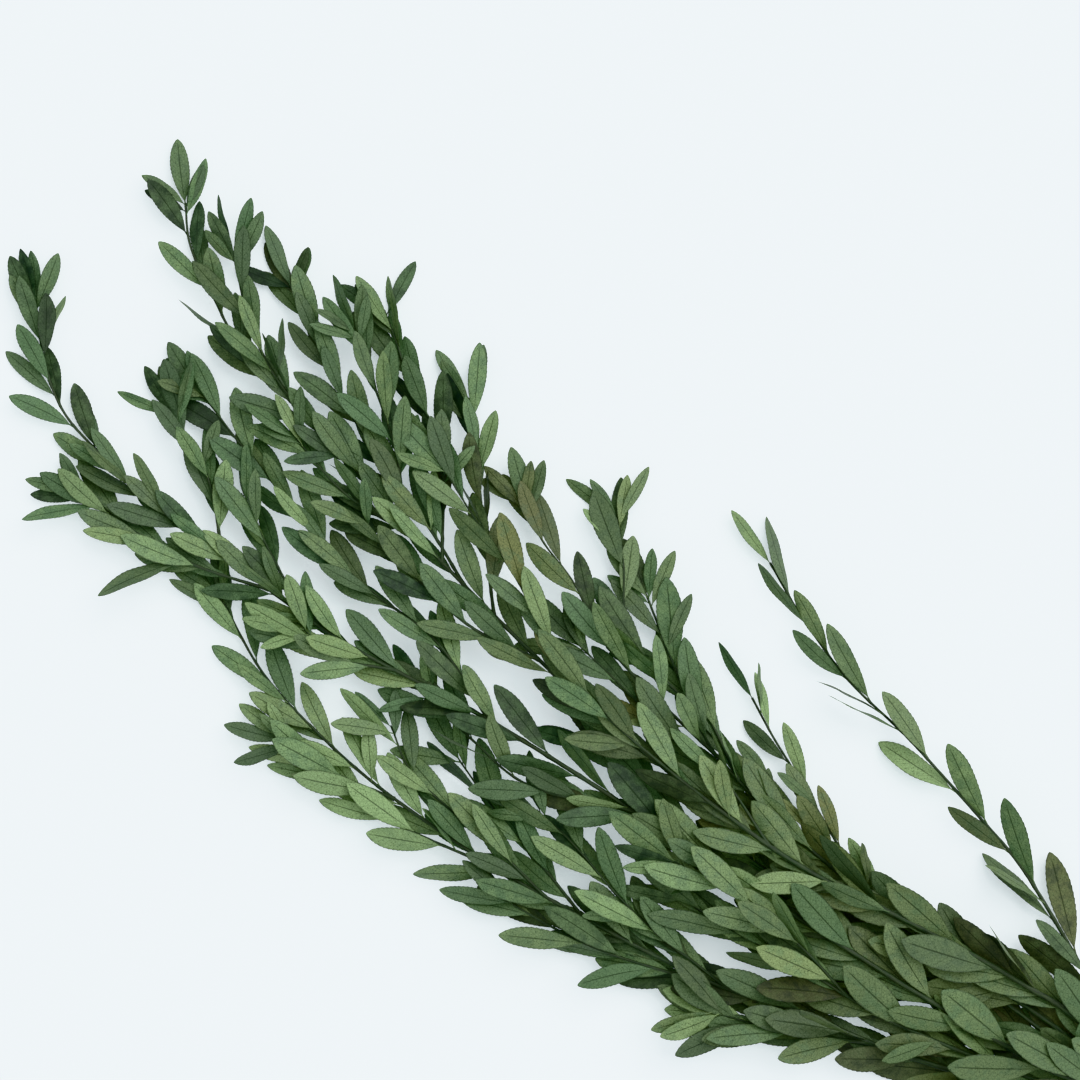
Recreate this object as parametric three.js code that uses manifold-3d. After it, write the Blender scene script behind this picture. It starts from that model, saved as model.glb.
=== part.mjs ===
// A bunch of preserved nicholii eucalyptus, lying on a table: eight cut stems with side twigs and
// narrow leaves, and a rubber band that holds them together near their cut ends.
// Millimetres. X runs from the cut ends to the tips, Y runs across the bunch and Z points up.
import * as THREE from "three";
import { mergeVertices } from "three/addons/utils/BufferGeometryUtils.js";
import Module from "manifold-3d";

const wasm = await Module();
wasm.setup();

const LEAF_GREEN = "#4f6644";
const LEAF_ROUGHNESS = 0.6;
const BAND_TAN = "#b99a6b";
const BAND_ROUGHNESS = 0.7;

// The band and the cut ends that it holds. Seven stems stand round an eighth.
const BUTT_RADIUS = 1.7;
const STEM_CIRCLE = 4.3;
const STEMS_ROUND = 7;
const BAND_START = 44;
const BAND_WIDTH = 8;
const BAND_GAP = 0.35;
const BAND_THICKNESS = 1.2;
const BAND_SIDES = 16;
const BAND_Y = 12;
const STRAIGHT_END = 64;

const STEM_STICK = { buttRadius: BUTT_RADIUS, tipRadius: 0.85, sides: 6, step: 42 };
const TWIG_STICK = { buttRadius: 0.92, tipRadius: 0.7, sides: 4, step: 30 };

// A leaf's outline, from its root round its outer side to the tip and back along the side that faces the
// stem, as shares of its length and of its greatest half width. Each face is split as BLADE_SPLIT says.
const BLADE_OUTLINE = [[0, 0], [0.34, 0.94], [0.72, 1.08], [1, -0.05], [0.8, -0.86], [0.44, -0.84]];
const BLADE_SPLIT = [[0, 1, 5], [1, 2, 5], [2, 4, 5], [2, 3, 4]];
const STALK_SHARE = 0.2;
const BLADE_THICKNESS = 0.7;
const ROOT_DEPTH = 0.45;

// Where the leaves of a stem and of a twig begin, and what they keep clear of each other and of the table.
const FIRST_LEAF = 92;
const FORK_GAP = 11;
const LEAF_CLEARANCE = 0.35;
const TABLE_CLEARANCE = 0.05;

// Leaves are longest near the cut ends and shortest at the tips.
const LEAF_LENGTHS = [
  { x: 160, length: 46, step: 21.5 },
  { x: 330, length: 41, step: 16.3 },
  { x: 480, length: 37.5, step: 14 },
  { x: 720, length: 31, step: 12.4 },
];

// How leaves differ. Length, slimness and bend are shares, and the other leaf values are angles in radians.
// Most leaves lift off their stem and bend back to it. The others do so on its underside.
const LENGTH_SHARE = [0.84, 1.1];
const STEP_SHARE = [0.85, 1.15];
const SLIMNESS = [0.145, 0.175];
const BEND = [-0.02, 0.06];
const TWIST = [-0.3, 0.3];
const SPREAD = [0.15, 0.36];
const LIFT = [0.07, 0.22];
const UNDER_CHANCE = 0.3;
const ROLL = [-0.35, 0.35];
const EDGE_ROLL = [0.9, 1.4];
const EDGE_CHANCE = 0.1;

// The leaf that ends a branch goes straight on from it, sits just short of its end and is a little shorter.
const ENDING_REACH = 0.6;
const ENDING_INSET = 1;
const ENDING_TURN = 0.05;
const ENDING_SHARE = 0.9;

const LEAF_TRIES = 18;
const FIRST_STRAY = 0.05;
const STRAY_STEP = 0.03;

const LEAF_SEED = 90893;
const DRAW_FACTOR = 16807;
const DRAW_LIMIT = 2147483647;

// Each stem's place in the band is its step round the circle, or null for the one in the middle. A route
// lists where the stem then runs, and a twig's route starts where the stem passes x = from.
const STEMS = [
  {
    name: "leafy_stem_1",
    circleStep: 4,
    route: [[100, 0, 6], [145, -17, 9], [197, -35, 11], [230, -41, 11], [280, -48, 11], [320, -51, 10],
      [357, -60, 9], [385, -70, 7]],
    twigs: [],
  },
  {
    name: "leafy_stem_2",
    circleStep: 3,
    route: [[132, 3, 16], [161, 6, 20], [191, 11, 24], [240, 22, 29], [280, 31, 31], [320, 35, 31],
      [400, 38, 27], [480, 33, 23], [560, 24, 19], [640, 14, 14], [670, 4, 11], [695, -8, 8], [710, -22, 6]],
    twigs: [
      { from: 354, route: [[400, 36, 34], [430, 30, 35], [475, 13, 33], [505, 5, 30], [535, -5, 26]] },
      { from: 490, route: [[520, 22, 20], [560, 12, 16], [590, 2, 13], [620, -12, 10], [646, -24, 6]] },
      { from: 505, route: [[540, -10, 18], [570, -24, 13], [590, -36, 9], [604, -44, 6]] },
      { from: 470, route: [[500, 6, 18], [531, -25, 11], [546, -38, 7]] },
      { from: 520, route: [[560, 35, 22], [597, 30, 18]] },
      { from: 440, route: [[475, 45, 28], [510, 44, 25], [545, 40, 22]] },
      { from: 530, route: [[556, 4, 24], [582, -12, 20], [608, -27, 15]] },
      { from: 600, route: [[628, 12, 19], [652, 0, 16], [676, -18, 12]] },
      { from: 300, route: [[335, 24, 25], [365, 24, 23], [400, 21, 20], [428, 19, 18]] },
    ],
  },
  {
    name: "leafy_stem_3",
    circleStep: 5,
    route: [[130, 12, 9], [200, 18, 16], [250, 22, 18], [300, 22, 18], [340, 18, 17], [358, 13, 16],
      [380, 2, 14], [402, -10, 11], [420, -20, 8]],
    twigs: [
      { from: 372, route: [[400, 4, 18], [420, -4, 17], [438, -24, 12], [455, -40, 7]] },
      { from: 345, route: [[380, 15, 21], [420, 10, 22], [450, -2, 19], [475, -8, 15], [494, -16, 11]] },
      { from: 330, route: [[365, 4, 10], [395, -2, 7]] },
    ],
  },
  {
    name: "leafy_stem_4",
    circleStep: null,
    route: [[130, 17, 10], [190, 20, 10], [230, 21, 10], [262, 16, 10], [303, 2, 9], [330, -7, 8],
      [350, -15, 6]],
    twigs: [{ from: 262, route: [[290, 16, 12], [318, 10, 10]] }],
  },
  {
    name: "leafy_stem_5",
    circleStep: 2,
    route: [[100, 18, 15], [130, 30, 19], [200, 42, 24], [260, 50, 26], [326, 59, 26], [381, 65, 24],
      [448, 75, 22], [519, 90, 19], [588, 95, 15], [623, 98, 13], [663, 96, 10], [690, 92, 8], [712, 80, 7],
      [736, 60, 5]],
    twigs: [
      { from: 560, route: [[594, 107, 17], [630, 114, 14], [660, 116, 10]] },
      { from: 440, route: [[484, 61, 22], [530, 63, 18], [575, 56, 14], [612, 50, 11], [644, 43, 7]] },
      { from: 540, route: [[575, 78, 15], [600, 67, 12]] },
      { from: 588, route: [[613, 74, 13], [630, 66, 11], [650, 59, 7]] },
      { from: 490, route: [[515, 98, 22], [536, 97, 22]] },
      { from: 360, route: [[405, 85, 22], [440, 86, 20], [470, 84, 16]] },
      { from: 290, route: [[330, 54, 19], [365, 49, 15], [395, 51, 11]] },
    ],
  },
  {
    name: "leafy_stem_6",
    circleStep: 6,
    route: [[130, 28, 7], [190, 34, 9], [250, 41, 10], [302, 44, 9]],
    twigs: [
      { from: 175, route: [[215, 50, 12], [250, 58, 12]] },
      { from: 245, route: [[280, 33, 13], [305, 30, 13]] },
    ],
  },
  {
    name: "leafy_stem_7",
    circleStep: 1,
    route: [[130, 38, 15], [200, 60, 22], [250, 68, 25], [290, 76, 24], [318, 80, 22]],
    twigs: [{ from: 225, route: [[265, 60, 34], [300, 62, 36], [330, 68, 34]] }],
  },
  {
    name: "leafy_stem_8",
    circleStep: 0,
    route: [[130, 46, 10], [193, 72, 14], [237, 85, 16], [280, 102, 17], [350, 118, 17], [395, 126, 16],
      [457, 132, 14], [501, 131, 12], [538, 126, 9], [575, 112, 6]],
    twigs: [
      { from: 280, route: [[307, 115, 18], [340, 127, 17], [380, 135, 13]] },
      { from: 392, route: [[430, 137, 17], [455, 142, 15], [480, 144, 11]] },
      { from: 365, route: [[400, 118, 21], [449, 117, 18], [474, 106, 14]] },
      { from: 345, route: [[375, 111, 12], [410, 105, 10], [438, 98, 7]] },
      { from: 270, route: [[310, 100, 22], [340, 98, 23], [372, 93, 20], [395, 92, 17]] },
      { from: 450, route: [[485, 142, 13], [508, 143, 11]] },
      { from: 200, route: [[240, 98, 20], [270, 112, 20]] },
    ],
  },
];

const UP = new THREE.Vector3(0, 0, 1);
const MERGE_DISTANCE = 1e-3;
const bandRadius = STEM_CIRCLE + BUTT_RADIUS + BAND_GAP + BAND_THICKNESS;
const bandHeight = bandRadius * Math.cos(Math.PI / BAND_SIDES);

// A path is a row of straight pieces of about one length, laid along a smooth curve through its points.
// The lead is a straight start, kept as it is.
const CURVE_TENSION = 0.5;
const CURVE_PARTS = 12;
const DIRECTION_REACH = 1.5;

function measure(places) {
  const distances = [0];
  for (let i = 1; i < places.length; i += 1) {
    distances.push(distances[i - 1] + places[i].distanceTo(places[i - 1]));
  }
  return { places, distances, length: distances.at(-1) };
}

function makePath(points, step, lead = []) {
  const curve = new THREE.CatmullRomCurve3(points, false, "catmullrom", CURVE_TENSION);
  const smooth = measure(curve.getPoints(CURVE_PARTS * (points.length - 1)));
  const pieces = Math.max(2, Math.round(smooth.length / step));
  const places = Array.from({ length: pieces + 1 }, (_, i) => pointAt(smooth, smooth.length * i / pieces));
  return measure([...lead, ...places]);
}

function pointAt(path, distance) {
  const { places, distances } = path;
  let i = 1;
  while (i < places.length - 1 && distances[i] < distance) {
    i += 1;
  }
  const share = (distance - distances[i - 1]) / (distances[i] - distances[i - 1]);
  return places[i - 1].clone().lerp(places[i], THREE.MathUtils.clamp(share, 0, 1));
}

function directionAt(path, distance) {
  const ahead = pointAt(path, Math.min(distance + DIRECTION_REACH, path.length));
  return ahead.sub(pointAt(path, Math.max(distance - DIRECTION_REACH, 0))).normalize();
}

// The place where a path reaches a given x.
function placeAtX(path, x) {
  const i = path.places.findIndex((place) => place.x >= x);
  const [before, after] = [path.places[i - 1], path.places[i]];
  return before.clone().lerp(after, (x - before.x) / (after.x - before.x));
}

function joinCorners(geometry) {
  geometry.deleteAttribute("normal");
  geometry.deleteAttribute("uv");
  return mergeVertices(geometry, MERGE_DISTANCE);
}

function makeSolid(corners, faces) {
  return new wasm.Manifold(new wasm.Mesh({ numProp: 3, vertProperties: corners, triVerts: faces }));
}

// A stem or twig is a tapered cylinder, bent along its path, with a flat side to the left and the right.
function makeStick(path, buttRadius, tipRadius, sides) {
  const pieces = path.places.length - 1;
  const turn = Math.PI / 2 - Math.PI / sides;
  const stick = new THREE.CylinderGeometry(tipRadius, buttRadius, path.length, sides, pieces, false, turn);
  const corners = stick.attributes.position;
  for (let i = 0; i < corners.count; i += 1) {
    const ring = Math.round((corners.getY(i) / path.length + 0.5) * pieces);
    const ahead = path.places[Math.min(ring + 1, pieces)];
    const behind = path.places[Math.max(ring - 1, 0)];
    const direction = ahead.clone().sub(behind).normalize();
    const left = new THREE.Vector3().crossVectors(UP, direction).normalize();
    const over = new THREE.Vector3().crossVectors(direction, left);
    const place = path.places[ring].clone();
    place.addScaledVector(left, corners.getX(i)).addScaledVector(over, -corners.getZ(i));
    corners.setXYZ(i, place.x, place.y, place.z);
  }
  const joined = joinCorners(stick);
  return makeSolid(joined.attributes.position.array, new Uint32Array(joined.index.array));
}

// Every draw comes from one seeded stream, so the bunch is the same each time.
let drawState = LEAF_SEED;

function draw([low, high]) {
  drawState = (drawState * DRAW_FACTOR) % DRAW_LIMIT;
  return low + (high - low) * drawState / DRAW_LIMIT;
}

// A leaf's length and its distance to the next one, for its x along the bunch.
function leafSize(x) {
  const last = LEAF_LENGTHS.length - 1;
  let i = 1;
  while (i < last && LEAF_LENGTHS[i].x < x) {
    i += 1;
  }
  const [near, far] = [LEAF_LENGTHS[i - 1], LEAF_LENGTHS[i]];
  const share = THREE.MathUtils.clamp((x - near.x) / (far.x - near.x), 0, 1);
  const length = near.length + share * (far.length - near.length);
  const step = near.step + share * (far.step - near.step);
  return { length, step };
}

// Half the width of a stem or twig between its two upright flat sides.
function flatHalfWidth(branch, distance) {
  const share = distance / branch.path.length;
  const radius = THREE.MathUtils.lerp(branch.buttRadius, branch.tipRadius, share);
  return radius * Math.cos(Math.PI / branch.sides);
}

// The leaves along one stem or twig, on its two sides in turn. The last one ends it.
function leavesOn(branch) {
  const { path, start } = branch;
  const leaves = [];
  let side = draw([-1, 1]) < 0 ? -1 : 1;
  let distance = start;
  while (distance < path.length) {
    const { length, step } = leafSize(pointAt(path, distance).x);
    const above = draw([0, 1]) > UNDER_CHANCE ? 1 : -1;
    const ending = distance + step * ENDING_REACH > path.length;
    const at = ending ? path.length - ENDING_INSET : distance;
    leaves.push({
      branch,
      side,
      root: pointAt(path, at),
      rootOffset: ending ? 0 : flatHalfWidth(branch, at) - ROOT_DEPTH,
      heading: directionAt(path, at),
      length: length * draw(LENGTH_SHARE) * (ending ? ENDING_SHARE : 1),
      slimness: draw(SLIMNESS),
      bend: above * draw(BEND),
      twist: draw(TWIST),
      spread: ending ? ENDING_TURN : draw(SPREAD),
      lift: ending ? ENDING_TURN : above * draw(LIFT),
    });
    distance += ending ? path.length : step * draw(STEP_SHARE);
    side = -side;
  }
  return leaves;
}

// How a leaf may turn: every try strays a little further from the leaf's own spread and lift, and a few
// leaves stand on edge.
function drawPoses(leaf) {
  return Array.from({ length: LEAF_TRIES }, (_, attempt) => {
    const stray = FIRST_STRAY + STRAY_STEP * attempt;
    const onEdge = draw([0, 1]) > 1 - EDGE_CHANCE ? draw(EDGE_ROLL) : 0;
    return {
      spread: leaf.spread + draw([-stray, stray]),
      lift: leaf.lift + draw([-stray, stray]),
      roll: draw(ROLL) - onEdge,
    };
  });
}

// The corners of a blade, round its upper face and then round its lower one. Grow makes it larger all round,
// and without its stalk it starts a little way out.
function bladeCorners(leaf, pose, grow = 0, stalk = true) {
  const left = new THREE.Vector3().crossVectors(UP, leaf.heading).normalize();
  const along = leaf.heading.clone().multiplyScalar(Math.cos(pose.spread));
  along.addScaledVector(left, leaf.side * Math.sin(pose.spread));
  along.multiplyScalar(Math.cos(pose.lift)).addScaledVector(UP, Math.sin(pose.lift)).normalize();
  const level = new THREE.Vector3().crossVectors(UP, along).normalize();
  const normal = new THREE.Vector3().crossVectors(along, level);
  const across = level.multiplyScalar(Math.cos(pose.roll)).addScaledVector(normal, Math.sin(pose.roll));
  const face = new THREE.Vector3().crossVectors(along, across);
  const root = leaf.root.clone().addScaledVector(left, leaf.side * leaf.rootOffset);

  return [BLADE_THICKNESS / 2 + grow, -BLADE_THICKNESS / 2 - grow].flatMap((half) =>
    BLADE_OUTLINE.map(([outlineShare, edge]) => {
      const share = stalk ? outlineShare : Math.max(outlineShare, STALK_SHARE);
      const width = leaf.side * (edge * leaf.length * leaf.slimness + Math.sign(edge) * grow);
      const turn = leaf.twist * share;
      const sag = leaf.bend * leaf.length * share * share;
      return root.clone()
        .addScaledVector(along, share * (leaf.length + grow))
        .addScaledVector(face, half - sag + width * Math.sin(turn))
        .addScaledVector(across, width * Math.cos(turn));
    }));
}

// The triangles of a blade, alike on both faces. On the right of its stem a blade is mirrored.
function bladeFaces(side) {
  const count = BLADE_OUTLINE.length;
  const upper = BLADE_SPLIT.map(([a, b, c]) => [a, c, b]);
  const lower = BLADE_SPLIT.map((face) => face.map((corner) => corner + count));
  const rim = BLADE_OUTLINE.flatMap((_, start) => {
    const end = (start + 1) % count;
    return [[start, end, end + count], [start, end + count, start + count]];
  });
  const faces = [...upper, ...lower, ...rim];
  return new Uint32Array(faces.flatMap(([a, b, c]) => (side > 0 ? [a, b, c] : [a, c, b])));
}

function makeBlade(leaf, corners) {
  const places = new Float32Array(corners.flatMap((corner) => corner.toArray()));
  return {
    leaf,
    box: new THREE.Box3().setFromPoints(corners),
    solid: makeSolid(places, bladeFaces(leaf.side)),
  };
}

function meets(one, other) {
  if (!one.box.intersectsBox(other.box)) {
    return false;
  }
  const shared = one.solid.intersect(other.solid);
  const found = !shared.isEmpty();
  shared.delete();
  return found;
}

// A leaf tries its poses in turn, and takes the first that clears the table, the sticks and the other leaves.
function placeLeaf(leaf, sticks, blades) {
  for (const pose of drawPoses(leaf)) {
    const corners = bladeCorners(leaf, pose);
    if (corners.some((corner) => corner.z < TABLE_CLEARANCE)) {
      continue;
    }
    const whole = makeBlade(leaf, bladeCorners(leaf, pose, LEAF_CLEARANCE));
    const outer = makeBlade(leaf, bladeCorners(leaf, pose, LEAF_CLEARANCE, false));
    const others = sticks.filter((stick) => stick !== leaf.branch);
    const blocked = meets(outer, leaf.branch)
      || others.some((stick) => meets(whole, stick))
      || blades.some((blade) => meets(whole, blade));
    whole.solid.delete();
    outer.solid.delete();
    if (!blocked) {
      return makeBlade(leaf, corners);
    }
  }
  return null;
}

function makeBranch(stem, points, stick, start, lead) {
  const path = makePath(points, stick.step, lead);
  const solid = makeStick(path, stick.buttRadius, stick.tipRadius, stick.sides);
  const box = new THREE.Box3().setFromPoints(path.places).expandByScalar(stick.buttRadius);
  return { stem, path, solid, box, start, ...stick };
}

// A stem lies straight in the band, and its twigs leave it further on.
function makeBranches(stem) {
  const centre = new THREE.Vector3(0, BAND_Y, bandHeight);
  if (stem.circleStep !== null) {
    const turn = stem.circleStep * 2 * Math.PI / STEMS_ROUND;
    centre.add(new THREE.Vector3(0, STEM_CIRCLE * Math.cos(turn), STEM_CIRCLE * Math.sin(turn)));
  }
  const bound = centre.clone().setX(STRAIGHT_END);
  const points = [bound, ...stem.route.map((place) => new THREE.Vector3(...place))];
  const main = makeBranch(stem, points, STEM_STICK, FIRST_LEAF, [centre]);
  const twigs = stem.twigs.map((twig) => {
    const root = placeAtX(main.path, twig.from);
    const route = [root, ...twig.route.map((place) => new THREE.Vector3(...place))];
    return makeBranch(stem, route, TWIG_STICK, FORK_GAP);
  });
  return [main, ...twigs];
}

function makeBand() {
  const inner = bandRadius - BAND_THICKNESS;
  const profile = [
    new THREE.Vector2(inner, 0),
    new THREE.Vector2(bandRadius, 0),
    new THREE.Vector2(bandRadius, BAND_WIDTH),
    new THREE.Vector2(inner, BAND_WIDTH),
    new THREE.Vector2(inner, 0),
  ];
  const ring = joinCorners(new THREE.LatheGeometry(profile, BAND_SIDES, Math.PI / BAND_SIDES));
  const rubber = new THREE.MeshStandardMaterial({ color: BAND_TAN, roughness: BAND_ROUGHNESS });
  const mesh = new THREE.Mesh(ring, rubber);
  mesh.name = "rubber_band";
  mesh.rotation.z = -Math.PI / 2;
  mesh.position.set(BAND_START, BAND_Y, bandHeight);
  return mesh;
}

const branches = STEMS.flatMap(makeBranches);
const blades = [];
for (const branch of branches) {
  for (const leaf of leavesOn(branch)) {
    const blade = placeLeaf(leaf, branches, blades);
    if (blade) {
      blades.push(blade);
    }
  }
}

const bunch = new THREE.Group();
const green = new THREE.MeshStandardMaterial({ color: LEAF_GREEN, roughness: LEAF_ROUGHNESS });
for (const stem of STEMS) {
  const sticks = branches.filter((branch) => branch.stem === stem);
  const leaves = blades.filter((blade) => blade.leaf.branch.stem === stem);
  const fused = wasm.Manifold.union([...sticks, ...leaves].map((piece) => piece.solid));
  const { vertProperties, triVerts } = fused.getMesh();
  const geometry = new THREE.BufferGeometry();
  geometry.setAttribute("position", new THREE.BufferAttribute(vertProperties, 3));
  geometry.setIndex(new THREE.BufferAttribute(triVerts, 1));
  const mesh = new THREE.Mesh(geometry, green);
  mesh.name = stem.name;
  bunch.add(mesh);
}
bunch.add(makeBand());

// The origin is under the middle of the whole bunch, on the table.
const extent = new THREE.Box3().setFromObject(bunch, true);
const middle = extent.getCenter(new THREE.Vector3());
bunch.position.set(-middle.x, -middle.y, -extent.min.z);

export default bunch;
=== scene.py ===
# A bunch of preserved nicholii eucalyptus, lying on a pale table and seen from straight above. The scene is
# in metres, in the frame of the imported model: X runs along the bunch from its cut ends to its tips. Stems,
# leaves and band are worked out in millimetres, which MM turns into metres. Angles are in radians.
import math
import bpy
import numpy as np
from mathutils import Matrix, Quaternion, Vector
from mathutils.bvhtree import BVHTree
from mathutils.kdtree import KDTree


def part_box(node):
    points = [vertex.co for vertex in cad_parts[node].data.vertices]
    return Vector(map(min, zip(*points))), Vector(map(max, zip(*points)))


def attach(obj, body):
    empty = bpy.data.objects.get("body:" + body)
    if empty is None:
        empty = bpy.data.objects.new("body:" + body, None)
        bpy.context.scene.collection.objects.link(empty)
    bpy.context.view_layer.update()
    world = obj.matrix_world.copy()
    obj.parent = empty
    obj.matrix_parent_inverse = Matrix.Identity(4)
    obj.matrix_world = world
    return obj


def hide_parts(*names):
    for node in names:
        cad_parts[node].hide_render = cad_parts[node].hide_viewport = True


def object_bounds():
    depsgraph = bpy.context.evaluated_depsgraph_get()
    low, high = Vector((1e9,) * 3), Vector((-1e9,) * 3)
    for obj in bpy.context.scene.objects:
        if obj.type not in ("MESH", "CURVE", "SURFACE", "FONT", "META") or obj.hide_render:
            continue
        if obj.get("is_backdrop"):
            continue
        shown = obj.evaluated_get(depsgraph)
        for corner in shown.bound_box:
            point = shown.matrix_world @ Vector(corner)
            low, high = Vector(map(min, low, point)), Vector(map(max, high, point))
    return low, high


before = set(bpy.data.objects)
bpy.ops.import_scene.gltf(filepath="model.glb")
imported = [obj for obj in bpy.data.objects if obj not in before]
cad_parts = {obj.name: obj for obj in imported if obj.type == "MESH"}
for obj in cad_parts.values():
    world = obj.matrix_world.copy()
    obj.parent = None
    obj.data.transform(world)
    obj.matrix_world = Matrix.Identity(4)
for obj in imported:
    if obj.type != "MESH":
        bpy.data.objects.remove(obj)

cad_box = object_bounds()
MM = 0.001


# Stems and twigs. Eight woody stems were cut from a tree and dyed dark with the leaves: 3.3 mm thick at
# the cut, thinner towards their tips, and a little swollen where a leaf or a twig leaves them. A stem
# grew in one piece with its twigs, and a rubber band holds the eight side by side.
BUTT_RADIUS = 1.7
STEM_CIRCLE = 4.3
STEMS_ROUND = 7
BAND_START = 44
BAND_GAP = 0.35
BAND_THICKNESS = 1.2
BAND_SIDES = 16
BAND_Y = 12
STRAIGHT_END = 64
FIRST_LEAF = 92
FORK_GAP = 11
CURVE_PARTS = 12
STEM_STICK = {"butt": BUTT_RADIUS, "tip": 0.85, "sides": 6, "step": 42, "fine_butt": 1.62, "fine_tip": 0.55}
CUT_DEPTH = 2.5
TWIG_STICK = {"butt": 0.92, "tip": 0.7, "sides": 4, "step": 30, "fine_butt": 0.8, "fine_tip": 0.42}

# Name, step round the circle in the band, route in millimetres from the cut end, and the twigs: each
# leaves the stem at an x and has a route of its own.
STEMS = [
    ("leafy_stem_1", 4,
     [(100, 0, 6), (145, -17, 9), (197, -35, 11), (230, -41, 11), (280, -48, 11), (320, -51, 10),
      (357, -60, 9), (385, -70, 7)],
     []),
    ("leafy_stem_2", 3,
     [(132, 3, 16), (161, 6, 20), (191, 11, 24), (240, 22, 29), (280, 31, 31), (320, 35, 31), (400, 38, 27),
      (480, 33, 23), (560, 24, 19), (640, 14, 14), (670, 4, 11), (695, -8, 8), (710, -22, 6)],
     [(354, [(400, 36, 34), (430, 30, 35), (475, 13, 33), (505, 5, 30), (535, -5, 26)]),
      (490, [(520, 22, 20), (560, 12, 16), (590, 2, 13), (620, -12, 10), (646, -24, 6)]),
      (505, [(540, -10, 18), (570, -24, 13), (590, -36, 9), (604, -44, 6)]),
      (470, [(500, 6, 18), (531, -25, 11), (546, -38, 7)]),
      (520, [(560, 35, 22), (597, 30, 18)]),
      (440, [(475, 45, 28), (510, 44, 25), (545, 40, 22)]),
      (530, [(556, 4, 24), (582, -12, 20), (608, -27, 15)]),
      (600, [(628, 12, 19), (652, 0, 16), (676, -18, 12)]),
      (300, [(335, 24, 25), (365, 24, 23), (400, 21, 20), (428, 19, 18)])]),
    ("leafy_stem_3", 5,
     [(130, 12, 9), (200, 18, 16), (250, 22, 18), (300, 22, 18), (340, 18, 17), (358, 13, 16), (380, 2, 14),
      (402, -10, 11), (420, -20, 8)],
     [(372, [(400, 4, 18), (420, -4, 17), (438, -24, 12), (455, -40, 7)]),
      (345, [(380, 15, 21), (420, 10, 22), (450, -2, 19), (475, -8, 15), (494, -16, 11)]),
      (330, [(365, 4, 10), (395, -2, 7)])]),
    ("leafy_stem_4", None,
     [(130, 17, 10), (190, 20, 10), (230, 21, 10), (262, 16, 10), (303, 2, 9), (330, -7, 8), (350, -15, 6)],
     [(262, [(290, 16, 12), (318, 10, 10)])]),
    ("leafy_stem_5", 2,
     [(100, 18, 15), (130, 30, 19), (200, 42, 24), (260, 50, 26), (326, 59, 26), (381, 65, 24),
      (448, 75, 22), (519, 90, 19), (588, 95, 15), (623, 98, 13), (663, 96, 10), (690, 92, 8),
      (712, 80, 7), (736, 60, 5)],
     [(560, [(594, 107, 17), (630, 114, 14), (660, 116, 10)]),
      (440, [(484, 61, 22), (530, 63, 18), (575, 56, 14), (612, 50, 11), (644, 43, 7)]),
      (540, [(575, 78, 15), (600, 67, 12)]),
      (588, [(613, 74, 13), (630, 66, 11), (650, 59, 7)]),
      (490, [(515, 98, 22), (536, 97, 22)]),
      (360, [(405, 85, 22), (440, 86, 20), (470, 84, 16)]),
      (290, [(330, 54, 19), (365, 49, 15), (395, 51, 11)])]),
    ("leafy_stem_6", 6,
     [(130, 28, 7), (190, 34, 9), (250, 41, 10), (302, 44, 9)],
     [(175, [(215, 50, 12), (250, 58, 12)]),
      (245, [(280, 33, 13), (305, 30, 13)])]),
    ("leafy_stem_7", 1,
     [(130, 38, 15), (200, 60, 22), (250, 68, 25), (290, 76, 24), (318, 80, 22)],
     [(225, [(265, 60, 34), (300, 62, 36), (330, 68, 34)])]),
    ("leafy_stem_8", 0,
     [(130, 46, 10), (193, 72, 14), (237, 85, 16), (280, 102, 17), (350, 118, 17), (395, 126, 16),
      (457, 132, 14), (501, 131, 12), (538, 126, 9), (575, 112, 6)],
     [(280, [(307, 115, 18), (340, 127, 17), (380, 135, 13)]),
      (392, [(430, 137, 17), (455, 142, 15), (480, 144, 11)]),
      (365, [(400, 118, 21), (449, 117, 18), (474, 106, 14)]),
      (345, [(375, 111, 12), (410, 105, 10), (438, 98, 7)]),
      (270, [(310, 100, 22), (340, 98, 23), (372, 93, 20), (395, 92, 17)]),
      (450, [(485, 142, 13), (508, 143, 11)]),
      (200, [(240, 98, 20), (270, 112, 20)])]),
]

band_radius = STEM_CIRCLE + BUTT_RADIUS + BAND_GAP + BAND_THICKNESS
band_height = band_radius * math.cos(math.pi / BAND_SIDES)
band_low, band_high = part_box("rubber_band")
band_y = (band_low.y + band_high.y) / 2
shift = np.array([band_low.x / MM - BAND_START, band_y / MM - BAND_Y, band_low.z / MM])


def measure(places):
    places = np.array(places, float)
    steps = np.linalg.norm(np.diff(places, axis=0), axis=1)
    return {"places": places, "distances": np.concatenate([[0], np.cumsum(steps)])}


def point_at(path, distance):
    return np.array([np.interp(distance, path["distances"], path["places"][:, axis]) for axis in range(3)])


def smooth_points(points):
    """A smooth curve through the points, CURVE_PARTS pieces between each two."""
    points = np.array(points, float)
    padded = np.vstack([2 * points[0] - points[1], points, 2 * points[-1] - points[-2]])
    places = []
    for i in range(1, len(padded) - 2):
        before, start, end, after = padded[i - 1:i + 3]
        for step in range(CURVE_PARTS):
            t = step / CURVE_PARTS
            leave, arrive = (end - before) / 2, (after - start) / 2
            bow = -3 * start + 3 * end - 2 * leave - arrive
            places.append(start + t * leave + t * t * bow + t ** 3 * (2 * start - 2 * end + leave + arrive))
    return places + [points[-1]]


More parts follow.
